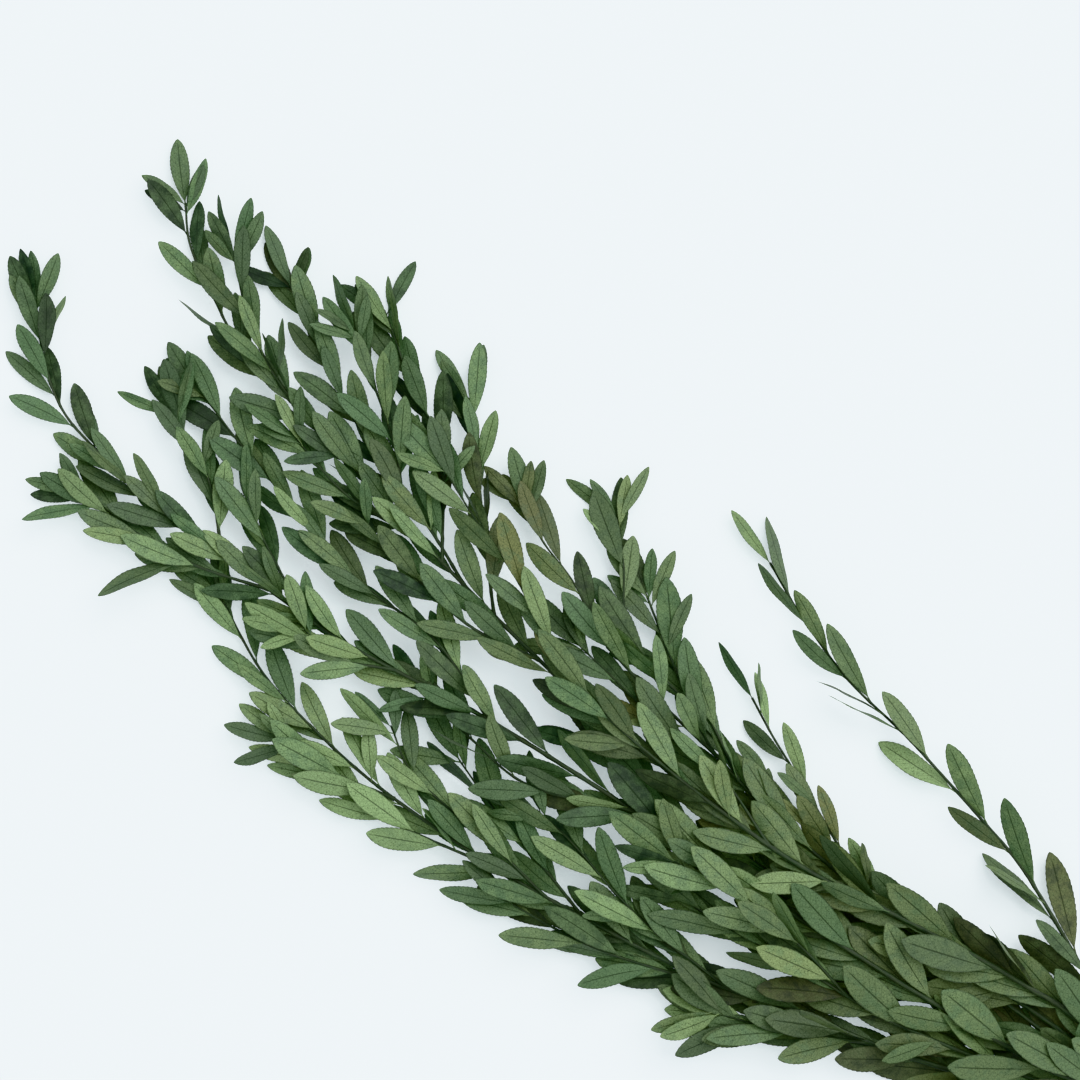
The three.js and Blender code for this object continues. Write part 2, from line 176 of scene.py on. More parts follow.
def make_branch(node, points, stick, start, lead=()):
    """The coarse path, on which the leaves were placed, and the smooth curve that it follows."""
    curve = measure(smooth_points(points))
    length = curve["distances"][-1]
    pieces = max(2, math.floor(length / stick["step"] + 0.5))
    places = [point_at(curve, length * i / pieces) for i in range(pieces + 1)]
    coarse = measure([*lead, *places])
    smooth = measure([*lead, *curve["places"]])
    lead_length = smooth["distances"][-1] - length
    marks = [*smooth["distances"][:len(lead)], *(lead_length + length * np.arange(pieces + 1) / pieces)]
    return {"node": node, "coarse": coarse, "smooth": smooth, "marks": marks, "start": start, "leaves": [],
            "fillers": [], **stick}


branches = []
for node, circle_step, route, twigs in STEMS:
    centre = np.array([0, BAND_Y, band_height])
    if circle_step is not None:
        turn = circle_step * 2 * math.pi / STEMS_ROUND
        centre = centre + STEM_CIRCLE * np.array([0, math.cos(turn), math.sin(turn)])
    bound = centre + (STRAIGHT_END, 0, 0)
    main = make_branch(node, [bound, *route], STEM_STICK, FIRST_LEAF, [centre])
    branches.append(main)
    for fork_x, twig_route in twigs:
        places = main["coarse"]["places"]
        i = int(np.argmax(places[:, 0] >= fork_x))
        share = (fork_x - places[i - 1, 0]) / (places[i, 0] - places[i - 1, 0])
        root = places[i - 1] + share * (places[i] - places[i - 1])
        branches.append(make_branch(node, [root, *twig_route], TWIG_STICK, FORK_GAP))
        step = np.linalg.norm(places[i] - places[i - 1])
        branches[-1]["fork"] = (main, main["coarse"]["distances"][i - 1] + share * step)


def branches_of(node):
    return [branch for branch in branches if branch["node"] == node]


def smooth_distance(branch, distance):
    """The distance along the smooth curve that matches a distance along the coarse path."""
    return np.interp(distance, branch["coarse"]["distances"], branch["marks"])


# A twig's foot lies in the middle of its stem.
FOOT_LENGTH = 30
for branch in branches:
    if "fork" in branch:
        stem, distance = branch["fork"]
        gap = point_at(stem["smooth"], smooth_distance(stem, distance)) - branch["smooth"]["places"][0]
        share = np.clip(branch["smooth"]["distances"] / FOOT_LENGTH, 0, 1)
        branch["smooth"]["places"] += gap * (1 - share * share * (3 - 2 * share))[:, None]


def add_node(tree, kind, inputs=None, **settings):
    """A node with its settings made and its inputs given: plain values, or sockets to link from."""
    node = tree.nodes.new(kind)
    for name, value in settings.items():
        setattr(node, name, value)
    for key, value in (inputs or {}).items():
        if isinstance(value, bpy.types.NodeSocket):
            tree.links.new(value, node.inputs[key])
        else:
            node.inputs[key].default_value = value
    return node


def calc(tree, operation, first, second=0.0):
    return add_node(tree, "ShaderNodeMath", {0: first, 1: second}, operation=operation).outputs[0]


def plus(tree, first, second):
    return calc(tree, "ADD", first, second)


def minus(tree, first, second):
    return calc(tree, "SUBTRACT", first, second)


def times(tree, first, second):
    return calc(tree, "MULTIPLY", first, second)


def named(tree, name, kind="FLOAT"):
    node = add_node(tree, "GeometryNodeInputNamedAttribute", {"Name": name}, data_type=kind)
    return node.outputs["Attribute"]


def new_tree(name, inputs, output):
    """A Geometry Nodes tree with its inputs by name, and the identifier of each for a modifier."""
    tree = bpy.data.node_groups.new(name, "GeometryNodeTree")
    keys = {}
    for label, kind in inputs:
        socket = tree.interface.new_socket(label, in_out="INPUT", socket_type="NodeSocket" + kind)
        keys[label] = socket.identifier
    tree.interface.new_socket(output, in_out="OUTPUT", socket_type="NodeSocketGeometry")
    return tree, keys, tree.nodes.new("NodeGroupInput").outputs


def end_tree(tree, geometry, material):
    realized = add_node(tree, "GeometryNodeRealizeInstances", {0: geometry}).outputs[0]
    painted = add_node(tree, "GeometryNodeSetMaterial", {0: realized, "Material": material}).outputs[0]
    tree.links.new(painted, tree.nodes.new("NodeGroupOutput").inputs[0])


def add_object(name, data):
    new_object = bpy.data.objects.new(name, data)
    bpy.context.scene.collection.objects.link(new_object)
    return new_object


def grow(name, start_mesh, tree, values):
    """A plain mesh object at the origin, made by a Geometry Nodes tree from a starting mesh."""
    start = add_object(name + "_start", start_mesh)
    modifier = start.modifiers.new(tree.name, "NODES")
    modifier.node_group = tree
    for key, value in values.items():
        modifier[key] = value
    bpy.context.view_layer.update()
    mesh = bpy.data.meshes.new_from_object(start.evaluated_get(bpy.context.evaluated_depsgraph_get()))
    bpy.data.objects.remove(start)
    mesh.name = name
    return add_object(name, mesh)


def add_values(mesh, name, values, kind="FLOAT"):
    key = {"FLOAT": "value", "QUATERNION": "value", "FLOAT_VECTOR": "vector"}[kind]
    mesh.attributes.new(name, kind, "POINT").data.foreach_set(key, np.array(values, np.float32).ravel())


wood_tree, wood_keys, given = new_tree(
    "Stems and twigs along their paths",
    [("Paths", "Geometry"), ("Sides", "Int"), ("Ridge Scale", "Float"), ("Ridge Height", "Float"),
     ("Bark", "Material")], "Wood")
tree = wood_tree
lines = add_node(tree, "GeometryNodeMeshToCurve", {0: given["Paths"]}).outputs[0]
spline = add_node(tree, "GeometryNodeSplineParameter")
lines = add_node(tree, "GeometryNodeStoreNamedAttribute",
                 {0: lines, "Name": "along", "Value": spline.outputs["Length"]}).outputs[0]
ring = add_node(tree, "GeometryNodeCurvePrimitiveCircle", {0: given["Sides"], "Radius": 1.0}).outputs[0]
round_the_ring = add_node(tree, "GeometryNodeSplineParameter")
ring = add_node(tree, "GeometryNodeStoreNamedAttribute",
                {0: ring, "Name": "around", "Value": round_the_ring.outputs["Factor"]}).outputs[0]
tube = add_node(tree, "GeometryNodeCurveToMesh",
                {0: lines, 1: ring, "Scale": named(tree, "radius"), "Fill Caps": True}).outputs[0]
place = add_node(tree, "GeometryNodeInputPosition").outputs[0]
rough = add_node(tree, "ShaderNodeTexNoise",
                 {0: place, "Scale": given["Ridge Scale"], "Detail": 2.0}).outputs[0]
rise = times(tree, minus(tree, rough, 0.5), given["Ridge Height"])
outward = add_node(tree, "GeometryNodeInputNormal").outputs[0]
step_out = add_node(tree, "ShaderNodeVectorMath", {0: outward, "Scale": rise}, operation="SCALE").outputs[0]
tube = add_node(tree, "GeometryNodeSetPosition", {0: tube, "Offset": step_out}).outputs[0]
tube = add_node(tree, "GeometryNodeSetShadeSmooth", {0: tube}).outputs[0]
end_tree(tree, tube, given["Bark"])


def srgb(red, green, blue):
    """A colour as seen on screen, 0 to 255, as the linear values that a shader takes."""
    return tuple(((c / 255 + 0.055) / 1.055) ** 2.4 if c > 10 else c / 255 / 12.92
                 for c in (red, green, blue)) + (1,)


def new_material(name, **constants):
    material = bpy.data.materials.new(name)
    material.use_nodes = True
    shader = material.node_tree.nodes["Principled BSDF"]
    for label, value in constants.items():
        shader.inputs[label.replace("_", " ")].default_value = value
    return material, material.node_tree, shader


def mix(tree, factor, first, second):
    return add_node(tree, "ShaderNodeMix", {0: factor, 6: first, 7: second}, data_type="RGBA").outputs[2]


def ease(tree, value, low, high, start=0.0, end=1.0):
    return add_node(tree, "ShaderNodeMapRange", {0: value, 1: low, 2: high, 3: start, 4: end},
                    interpolation_type="SMOOTHSTEP").outputs[0]


def read(tree, name):
    return add_node(tree, "ShaderNodeAttribute", attribute_name=name).outputs["Fac"]


# Blotches, specks and fine pores, which the dye leaves on every part of the plant.
grain = bpy.data.node_groups.new("Blotches, specks and pores", "ShaderNodeTree")
for label, kind in (("Place", "Vector"), ("Blotch Scale", "Float"), ("Speck Scale", "Float")):
    grain.interface.new_socket(label, in_out="INPUT", socket_type="NodeSocket" + kind)
for label in ("Blotches", "Specks", "Pores"):
    grain.interface.new_socket(label, in_out="OUTPUT", socket_type="NodeSocketFloat")
given = grain.nodes.new("NodeGroupInput").outputs
blotch = add_node(grain, "ShaderNodeTexNoise",
                  {"Vector": given[0], "Scale": given[1], "Detail": 4.0, "Roughness": 0.6}).outputs[0]
fine = add_node(grain, "ShaderNodeTexNoise", {0: given[0], "Scale": given[2], "Detail": 3.0}).outputs[0]
coarse_speck = add_node(grain, "ShaderNodeTexVoronoi", {"Vector": given[0], "Scale": given[2]}).outputs[0]
found = grain.nodes.new("NodeGroupOutput").inputs
grain.links.new(ease(grain, blotch, 0.3, 0.7), found[0])
grain.links.new(ease(grain, coarse_speck, 0.12, 0.34, 1.0, 0.0), found[1])
grain.links.new(fine, found[2])


def add_grain(tree, blotch_scale, speck_scale):
    """Blotches, specks and pores of one size, laid over a piece where it stands."""
    place = tree.nodes.new("ShaderNodeTexCoord").outputs["Object"]
    node = tree.nodes.new("ShaderNodeGroup")
    node.node_tree = grain
    tree.links.new(place, node.inputs["Place"])
    node.inputs["Blotch Scale"].default_value = blotch_scale
    node.inputs["Speck Scale"].default_value = speck_scale
    return node.outputs["Blotches"], node.outputs["Specks"], node.outputs["Pores"]


def add_relief(tree, shader, height, strength, distance):
    relief = add_node(tree, "ShaderNodeBump", {"Strength": strength, "Distance": distance, "Height": height})
    tree.links.new(relief.outputs[0], shader.inputs["Normal"])


bark, tree, shader = new_material("Dyed bark", Specular_IOR_Level=0.4)
blotches, specks, pores = add_grain(tree, 160, 1500)
along, around = times(tree, read(tree, "along"), 60.0), times(tree, read(tree, "around"), 9.0)
streak_place = add_node(tree, "ShaderNodeCombineXYZ", {0: along, 1: around}).outputs[0]
streaks = add_node(tree, "ShaderNodeTexNoise", {0: streak_place, "Scale": 3.0, "Detail": 3.0}).outputs[0]
colour = mix(tree, ease(tree, streaks, 0.35, 0.65), srgb(34, 48, 34), srgb(62, 78, 54))
colour = mix(tree, times(tree, blotches, 0.25), colour, srgb(62, 58, 44))
colour = mix(tree, times(tree, specks, 0.2), colour, srgb(78, 76, 55))
cuts_end = (shift[0] + CUT_DEPTH) * MM
object_place = tree.nodes.new("ShaderNodeTexCoord").outputs["Object"]
x = add_node(tree, "ShaderNodeSeparateXYZ", {0: object_place}).outputs[0]
at_foot = calc(tree, "LESS_THAN", read(tree, "along"), 0.00002)
cut_face = times(tree, calc(tree, "LESS_THAN", x, cuts_end), at_foot)
colour = mix(tree, cut_face, colour, srgb(176, 158, 112))
tree.links.new(colour, shader.inputs["Base Color"])
tree.links.new(ease(tree, streaks, 0.2, 0.8, 0.5, 0.72), shader.inputs["Roughness"])
add_relief(tree, shader, plus(tree, streaks, times(tree, pores, 0.5)), 0.5, 0.0003)


# Leaves. Each is a stiff, leathery blade on a short stalk, dyed and softened so that it keeps: 21 to 50 mm
# long, a quarter to a third as wide, with a fine saw edge, a dark midrib and faint net veins. They grow
# from the stems and twigs on one side and the other in turn, and lean towards the tip.
BLADE_OUTLINE = [(0, 0), (0.34, 0.94), (0.72, 1.08), (1, -0.05), (0.8, -0.86), (0.44, -0.84)]
BLADE_THICKNESS = 0.7
TIP_CORNER = 3
ROOT_DEPTH = 0.45
DIRECTION_REACH = 1.5
# Place along the bunch, a leaf's length there, and the step from one leaf to the next.
LEAF_LENGTHS = [(160, 46, 21.5), (330, 41, 16.3), (480, 37.5, 14), (720, 31, 12.4)]
LENGTH_SHARE = (0.84, 1.1)
STEP_SHARE = (0.85, 1.15)
SLIMNESS = (0.145, 0.175)
BEND = (-0.02, 0.06)
TWIST = (-0.3, 0.3)
SPREAD = (0.15, 0.36)
LIFT = (0.07, 0.22)
UNDER_CHANCE = 0.3
ROLL = (-0.35, 0.35)
EDGE_ROLL = (0.9, 1.4)
EDGE_CHANCE = 0.1
# The last leaf ends its stem or twig, nearly in line with it.
ENDING_REACH = 0.6
ENDING_INSET = 1
ENDING_TURN = 0.05
ENDING_SHARE = 0.9
# A leaf's pose strays further with each try.
LEAF_TRIES = 18
FIRST_STRAY = 0.05
STRAY_STEP = 0.03
LEAF_SEED = 90893
DRAW_FACTOR = 16807
DRAW_LIMIT = 2147483647
draw_state = LEAF_SEED


def draw(low, high):
    global draw_state
    draw_state = draw_state * DRAW_FACTOR % DRAW_LIMIT
    return low + (high - low) * draw_state / DRAW_LIMIT


def leaf_size(x):
    at, lengths, steps = zip(*LEAF_LENGTHS)
    return np.interp(x, at, lengths), np.interp(x, at, steps)


def heading_at(path, distance):
    """The way that a path runs at a distance along it."""
    ahead = point_at(path, min(distance + DIRECTION_REACH, path["distances"][-1]))
    heading = ahead - point_at(path, max(distance - DIRECTION_REACH, 0))
    return heading / np.linalg.norm(heading)


def leaves_on(branch):
    """The leaves along one stem or twig, on its two sides in turn. The last one ends it."""
    path = branch["coarse"]
    total = path["distances"][-1]
    side = -1 if draw(-1, 1) < 0 else 1
    distance = branch["start"]
    while distance < total:
        length, step = leaf_size(point_at(path, distance)[0])
        above = 1 if draw(0, 1) > UNDER_CHANCE else -1
        ending = distance + step * ENDING_REACH > total
        at = total - ENDING_INSET if ending else distance
        radius = branch["butt"] + (branch["tip"] - branch["butt"]) * at / total
        leaf = {"side": side, "at": at, "root": point_at(path, at), "heading": heading_at(path, at)}
        leaf["offset"] = 0 if ending else radius * math.cos(math.pi / branch["sides"]) - ROOT_DEPTH
        leaf["length"] = length * draw(*LENGTH_SHARE) * (ENDING_SHARE if ending else 1)
        leaf["slimness"] = draw(*SLIMNESS)
        leaf["bend"] = above * draw(*BEND)
        leaf["twist"] = draw(*TWIST)
        leaf["spread"] = ENDING_TURN if ending else draw(*SPREAD)
        leaf["lift"] = ENDING_TURN if ending else above * draw(*LIFT)
        branch["leaves"].append(leaf)
        distance += total if ending else step * draw(*STEP_SHARE)
        side = -side


def draw_poses(leaf):
    """The poses that a leaf was tried in: how far it spreads from its twig, lifts, and rolls on itself."""
    poses = []
    for attempt in range(LEAF_TRIES):
        stray = FIRST_STRAY + STRAY_STEP * attempt
        on_edge = draw(*EDGE_ROLL) if draw(0, 1) > 1 - EDGE_CHANCE else 0
        spread = leaf["spread"] + draw(-stray, stray)
        lift = leaf["lift"] + draw(-stray, stray)
        poses.append((spread, lift, draw(*ROLL) - on_edge))
    return poses


def leaf_axes(leaf, pose):
    """Along the leaf, across it and out of its upper face, as the columns of a matrix, and its root."""
    spread, lift, roll = pose
    up = np.array([0.0, 0.0, 1.0])
    left = np.cross(up, leaf["heading"])
    left /= np.linalg.norm(left)
    flat = leaf["heading"] * math.cos(spread) + left * leaf["side"] * math.sin(spread)
    along = flat * math.cos(lift) + up * math.sin(lift)
    along /= np.linalg.norm(along)
    level = np.cross(up, along)
    level /= np.linalg.norm(level)
    across = level * math.cos(roll) + np.cross(along, level) * math.sin(roll)
    return np.column_stack([along, across, np.cross(along, across)]), left * leaf["side"] * leaf["offset"]


def tip_corners(leaf, pose):
    """The two corners of the solid leaf's tip, upper and lower."""
    axes, offset = leaf_axes(leaf, pose)
    share, edge = BLADE_OUTLINE[TIP_CORNER]
    width = leaf["side"] * edge * leaf["length"] * leaf["slimness"]
    turn = leaf["twist"] * share
    sag = leaf["bend"] * leaf["length"] * share * share
    return [leaf["root"] + offset + axes @ (share * leaf["length"], width * math.cos(turn),
                                            half - sag + width * math.sin(turn))
            for half in (BLADE_THICKNESS / 2, -BLADE_THICKNESS / 2)]


corner_trees = {}
for node, *_ in STEMS:
    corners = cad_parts[node].data.vertices
    corner_trees[node] = KDTree(len(corners))
    for i, corner in enumerate(corners):
        corner_trees[node].insert(corner.co, i)
    corner_trees[node].balance()

# A leaf points as its solid does: its pose is the first whose tip is a corner of the solid.
TIP_MATCH = 0.06
for branch in branches:
    leaves_on(branch)
    solid_corners = corner_trees[branch["node"]]
    for leaf in branch["leaves"]:
        leaf["pose"] = None
        for pose in draw_poses(leaf):
            misses = [solid_corners.find((tip + shift) * MM)[2] for tip in tip_corners(leaf, pose)]
            if leaf["pose"] is None and max(misses) < TIP_MATCH * MM:
                leaf["pose"] = pose

# More leaves stand between these, over and under their twig, with a few small ones close together at its
# tip and a stray one here and there. Each takes the first pose in which its plain outline crosses neither
# the solids nor another outline, and is left out where it finds none. The finished leaves can still touch.
BLADE_TRIANGLES = [(0, 1, 5), (1, 2, 5), (2, 4, 5), (2, 3, 4)]
FILL_START = 0.22
FILL_FOOT = 0.8
FILL_SLIMNESS = (0.13, 0.17)
FILL_TWIST = (-0.15, 0.15)
FILL_BEND = (0, 0.12)
FILL_LIFT = (0.06, 0.3)
FILL_ROLL = (-0.4, 0.4)
FILL_TRIES = 14
TRY_WIDER = 0.02
LOWEST_FILL = 0.4


def blade_places(leaf, pose):
    """The blade's outline as the solids have it, but one sheet, and without the part by its stalk."""
    axes, offset = leaf_axes(leaf, pose)
    places = []
    for share, edge in BLADE_OUTLINE:
        share = max(share, FILL_START)
        sag = leaf["bend"] * leaf["length"] * share * share
        width = leaf["side"] * edge * leaf["length"] * leaf["slimness"]
        places.append(leaf["root"] + offset + axes @ (share * leaf["length"], width, -sag) + shift)
    return places


solid_places, solid_faces = [], []
for node, *_ in STEMS:
    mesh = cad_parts[node].data
    first = len(solid_places)
    solid_places += [corner.co / MM for corner in mesh.vertices]
    solid_faces += [[first + corner for corner in face.vertices] for face in mesh.polygons]
solids = BVHTree.FromPolygons(solid_places, solid_faces)
fill_places, fill_faces = [], []
draws = np.random.RandomState(37)


def fit_leaf(branch, at, side, over, size, spreads, roll=0.0):
    """One leaf more, over its twig or, where over is -1, under it, if its outline finds a free pose."""
    path = branch["coarse"]
    radius = branch["fine_butt"] + (branch["fine_tip"] - branch["fine_butt"]) * at / path["distances"][-1]
    leaf = {"side": side, "at": at, "heading": heading_at(path, at), "offset": 0}
    leaf["root"] = point_at(path, at) + (0, 0, over * radius * FILL_FOOT)
    leaf["length"] = leaf_size(leaf["root"][0])[0] * size
    leaf["slimness"] = draws.uniform(*FILL_SLIMNESS)
    leaf["twist"] = draws.uniform(*FILL_TWIST)
    for attempt in range(FILL_TRIES):
        leaf["bend"] = over * draws.uniform(*FILL_BEND)
        spread = draws.uniform(spreads[0], spreads[1] + TRY_WIDER * attempt)
        lift = over * draws.uniform(FILL_LIFT[0], FILL_LIFT[1] + TRY_WIDER * attempt)
        pose = (spread, lift, roll + draws.uniform(*FILL_ROLL))
        places = blade_places(leaf, pose)
        blade = BVHTree.FromPolygons(places, BLADE_TRIANGLES)
        others = BVHTree.FromPolygons(fill_places, fill_faces) if fill_faces else None
        too_low = min(place[2] for place in places) < LOWEST_FILL
        if too_low or blade.overlap(solids) or others and blade.overlap(others):
            continue
        leaf["pose"] = pose
        fill_faces.extend([len(fill_places) + corner for corner in face] for face in BLADE_TRIANGLES)
        fill_places.extend(places)
        branch["fillers"].append(leaf)
        return


# Two long leaves on an outer twig stand on edge and point away from the bunch.
OUTER_LEAVES = [(600, 1.25), (648, 1.05)]
OUTER_SPREADS = (0.45, 0.7)
OUTER_ROLL = 1.35
outer_twig = branches_of("leafy_stem_5")[1]
for x, size in OUTER_LEAVES:
    at = np.interp(x, outer_twig["coarse"]["places"][:, 0], outer_twig["coarse"]["distances"])
    fit_leaf(outer_twig, at, 1, 1, size, OUTER_SPREADS, OUTER_ROLL)

# How many stand after each leaf, and the chance that the first is over the twig, both by the place along
# the bunch.
FILL_X = [150, 320, 400, 480, 560, 640, 720]
FILL_COUNTS = [3.2, 1.8, 0.1, 0.5, 0.85, 0.65, 0.5]
OVER_X = [320, 560]
OVER_CHANCES = [0.15, 0.5]
FILL_AFTER = (0.3, 0.8)
FILL_GAP = 3
FILL_SIZES = (0.8, 1.02)
FILL_SPREADS = (-0.12, 0.2)
SMALL_SIZES = (0.6, 0.9)
STRAY_CHANCE = 0.12
STRAY_SPREADS = (0.45, 0.85)
STRAY_EDGE_CHANCE = 0.3
STRAY_EDGE_ROLL = 1.3
TIP_LEAVES = 4
TIP_GAP = 1.6
TIP_SPREADS = (0.2, 0.75)
TIP_OVER_CHANCE = 0.75
BARE_STEMS = ("leafy_stem_1", "leafy_stem_4")
for branch in branches:
    if branch["node"] in BARE_STEMS:
        continue
    for before, after in zip(branch["leaves"], branch["leaves"][1:]):
        at = before["at"] + (after["at"] - before["at"]) * draws.uniform(*FILL_AFTER)
        x = point_at(branch["coarse"], at)[0]
        over_chance = np.interp(x, OVER_X, OVER_CHANCES)
        for place in range(int(np.interp(x, FILL_X, FILL_COUNTS) + draws.uniform())):
            over = 1 if place == 0 and draws.uniform() < over_chance else -1
            side = before["side"] * (-1) ** (place + 1)
            fit_leaf(branch, at + FILL_GAP * place, side, over, draws.uniform(*FILL_SIZES), FILL_SPREADS)
        if draws.uniform() < STRAY_CHANCE:
            roll = STRAY_EDGE_ROLL if draws.uniform() < STRAY_EDGE_CHANCE else 0
            fit_leaf(branch, at, before["side"], 1, draws.uniform(*SMALL_SIZES), STRAY_SPREADS, roll)
    tip_at = branch["coarse"]["distances"][-1] - ENDING_INSET
    for place in range(TIP_LEAVES):
        over = 1 if draws.uniform() < TIP_OVER_CHANCE else -1
        at, side = tip_at - TIP_GAP * place, (-1) ** place
        fit_leaf(branch, at, side, over, draws.uniform(*SMALL_SIZES), TIP_SPREADS)

# The two stems that lie apart are thin and carry only a few more, nearly on edge.
BARE_CHANCE = 0.45
BARE_SIZES = (0.7, 0.9)
BARE_SPREADS = (0.15, 0.45)
BARE_ROLL = 0.95
for branch in branches:
    if branch["node"] in BARE_STEMS:
        for before, after in zip(branch["leaves"], branch["leaves"][1:]):
            if draws.uniform() < BARE_CHANCE:
                at = (before["at"] + after["at"]) / 2
                fit_leaf(branch, at, before["side"], 1, draws.uniform(*BARE_SIZES), BARE_SPREADS, BARE_ROLL)


# The wood of each stem: thicker at each leaf and at the foot of each twig, and cut off at its own length.
# It bends gently where it leaves the band.
THIN_TAPER = 1.7
KNOT_RISE = 0.2
KNOT_REACH = 1.5
FOOT_RISE = 0.5
FOOT_REACH = 3.0
BEND_EASE = 9.0
BEND_REACH = 14.0
BEND_STEPS = (-1, -0.5, 0, 0.5, 1)
WOOD_SIDES = 10
WOOD_STEP = 1.6
RIDGE_SCALE = 420
RIDGE_HEIGHT = 0.25
WOOD_SHARP = math.radians(60)
draws = np.random.RandomState(11)
for node, *_ in STEMS:
    places, radii, edges = [], [], []
    for branch in branches_of(node):
        distances = branch["smooth"]["distances"]
        cut = 0 if "fork" in branch else draws.uniform(0, CUT_DEPTH)
        fine = np.arange(cut, distances[-1], WOOD_STEP)
        fine[-1] = distances[-1]
        share = fine / distances[-1]
        taper = THIN_TAPER if node in BARE_STEMS else 1
        radius = branch["fine_tip"] + (branch["fine_butt"] - branch["fine_tip"]) * (1 - share) ** taper
        for leaf in branch["leaves"]:
            knot = smooth_distance(branch, leaf["at"])
            radius = radius * (1 + KNOT_RISE * np.exp(-((fine - knot) / KNOT_REACH) ** 2))
        if "fork" in branch:
            radius = radius * (1 + FOOT_RISE * np.exp(-fine / FOOT_REACH))
        first = len(places)
        for distance in fine:
            ease_by = BEND_EASE * math.exp(-((distance - STRAIGHT_END) / BEND_REACH) ** 2)
            if "fork" in branch:
                ease_by = 0
            near = [point_at(branch["smooth"], distance + ease_by * step) for step in BEND_STEPS]
            places.append((np.mean(near, axis=0) + shift) * MM)
        radii += [r * MM for r in radius]
        edges += [(i, i + 1) for i in range(first, len(places) - 1)]
    paths_mesh = bpy.data.meshes.new(node + "_paths")
    paths_mesh.from_pydata(places, edges, [])
    add_values(paths_mesh, "radius", radii)
    wood = grow(node + "_wood", paths_mesh, wood_tree,
                {wood_keys["Sides"]: WOOD_SIDES, wood_keys["Ridge Scale"]: float(RIDGE_SCALE),
                 wood_keys["Ridge Height"]: RIDGE_HEIGHT * MM, wood_keys["Bark"]: bark})
    wood.data.set_sharp_from_angle(angle=WOOD_SHARP)
    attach(wood, "root")
    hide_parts(node)


# One leaf, which every other is a copy of. Its corners are given as shares: along its length, of its half
# width on either side, and of its half thickness, which is greatest at the stalk and along the midrib.
STATIONS = [0, 0.07, 0.17, 0.29, 0.41, 0.53, 0.65, 0.77, 0.885]
THICKNESS = [1.9, 1.5, 1.1, 1, 1, 1, 0.95, 0.9, 0.8]
HALF_WAY = 0.52
HALF_WAY_THICKNESS = 0.95
TEETH_STEPS = 4
TEETH_START = 0.14
TOOTH_DEPTH = 0.045
TOOTH_LEAN = 0.45
STALK_LENGTH = 0.055
STALK_WIDTH = 0.075
WEDGE = 0.95
BLUNT = 0.7


def half_width(share):
    """The leaf's half width along its length: a narrow stalk, a wedge, and a blunt tip."""
    reach = np.clip((share - STALK_LENGTH) / (1 - STALK_LENGTH), 0, 1)
    blade = reach ** WEDGE * (1 - reach) ** BLUNT
    widest = WEDGE / (WEDGE + BLUNT)
    blade /= widest ** WEDGE * (1 - widest) ** BLUNT
    return max(blade, STALK_WIDTH * (share < 0.5))


blank_mesh = bpy.data.meshes.new("leaf_blank")
corners, corner_uvs = [], []


def add_corner(share, edge, depth):
    corners.append((share, edge * half_width(share), depth))
    corner_uvs.append((share, 0.5 + 0.5 * edge))
    return len(corners) - 1


last = len(STATIONS) - 1
ridge = [add_corner(share, 0, depth) for share, depth in zip(STATIONS, THICKNESS)]
keel = [add_corner(share, 0, -depth) for share, depth in zip(STATIONS, THICKNESS)]
halves = {}
for side in (1, -1):
    halves[side] = [None]
    for share, depth in zip(STATIONS[1:], THICKNESS[1:]):
        halves[side].append(add_corner(share, side * HALF_WAY, HALF_WAY_THICKNESS * depth))
tip = add_corner(1, 0, 0)
margins = {}
for side in (1, -1):
    margins[side] = []
    for i, share in enumerate(STATIONS):
        end = STATIONS[i + 1] if i < last else 1
        for step in range(TEETH_STEPS):
            tooth = step % 2
            at = share + (end - share) * (step + TOOTH_LEAN * tooth) / TEETH_STEPS
            reach = 1 + TOOTH_DEPTH * (tooth - 0.5) * (at > TEETH_START)
            margins[side].append(add_corner(at, side * reach, 0))
    margins[side].append(tip)

faces, undersides = [], []
for i in range(last + 1):
    for side in (1, -1):
        rim = margins[side][TEETH_STEPS * i:TEETH_STEPS * (i + 1) + 1]
        near_half = halves[side][i]
        if i == last:
            upper = [[ridge[i], tip, near_half], [near_half, *rim[::-1]]]
            lower = [keel[i], *rim]
        else:
            ahead_half = halves[side][i + 1]
            upper = [[ridge[i], ridge[i + 1], ahead_half, near_half], [near_half, ahead_half, *rim[::-1]]]
            if i == 0:
                upper = [[ridge[i], ridge[i + 1], ahead_half, *rim[::-1]]]
            lower = [keel[i], *rim, keel[i + 1]]
        for face, under in [(face, 0) for face in upper] + [(lower, 1)]:
            faces.append(face if side > 0 else face[::-1])
            undersides.append(under)
faces.append([ridge[0], margins[1][0], keel[0], margins[-1][0]])
undersides.append(0)
blank_mesh.from_pydata(corners, [], faces)
blank_mesh.polygons.foreach_set("use_smooth", [True] * len(faces))
loop_corners = [loop.vertex_index for loop in blank_mesh.loops]
loop_undersides = [below for face, below in zip(faces, undersides) for _ in face]
uvs = np.array([corner_uvs[corner] for corner in loop_corners], np.float32)
blank_mesh.uv_layers.new(name="UVMap").data.foreach_set("uv", uvs.ravel())
blank_mesh.attributes.new("underside", "FLOAT", "CORNER").data.foreach_set("value", loop_undersides)
add_values(blank_mesh, "blade", corners, "FLOAT_VECTOR")
rims = {frozenset(pair) for side in (1, -1) for pair in zip(margins[side], margins[side][1:])}
sharp = blank_mesh.attributes.new("sharp_edge", "BOOLEAN", "EDGE")
for edge in blank_mesh.edges:
    sharp.data[edge.index].value = frozenset(edge.vertices) in rims
blank = add_object("leaf_blank", blank_mesh)

